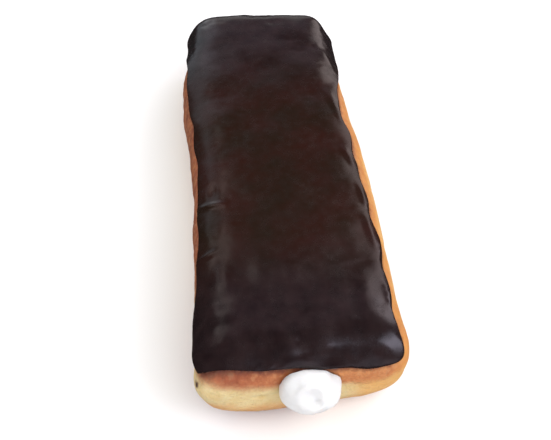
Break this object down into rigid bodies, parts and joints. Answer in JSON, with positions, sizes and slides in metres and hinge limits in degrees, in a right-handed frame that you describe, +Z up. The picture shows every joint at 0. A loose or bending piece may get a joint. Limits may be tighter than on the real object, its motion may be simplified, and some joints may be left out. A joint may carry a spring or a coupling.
{
  "type": "long john doughnut",
  "caption": "Long rectangular yeast doughnut with rounded sides, a smooth chocolate icing on top and a dab of cream filling at one end.",
  "frame": {"origin": "on the table, under the middle of the doughnut's box", "axes": "+Z up, +Y along the bar away from the end where the cream shows, +X across the bar"},
  "size_m": [0.0672, 0.1874, 0.0369],
  "materials": {
    "dough": "fried crust, golden brown with a pale band round the waist",
    "icing": "set chocolate icing, smooth with a soft sheen",
    "cream": "whipped cream filling, smooth and soft"
  },
  "bodies": {
    "root": {"dough": "dough", "icing": "icing", "cream": "cream"}
  },
  "joints": []
}
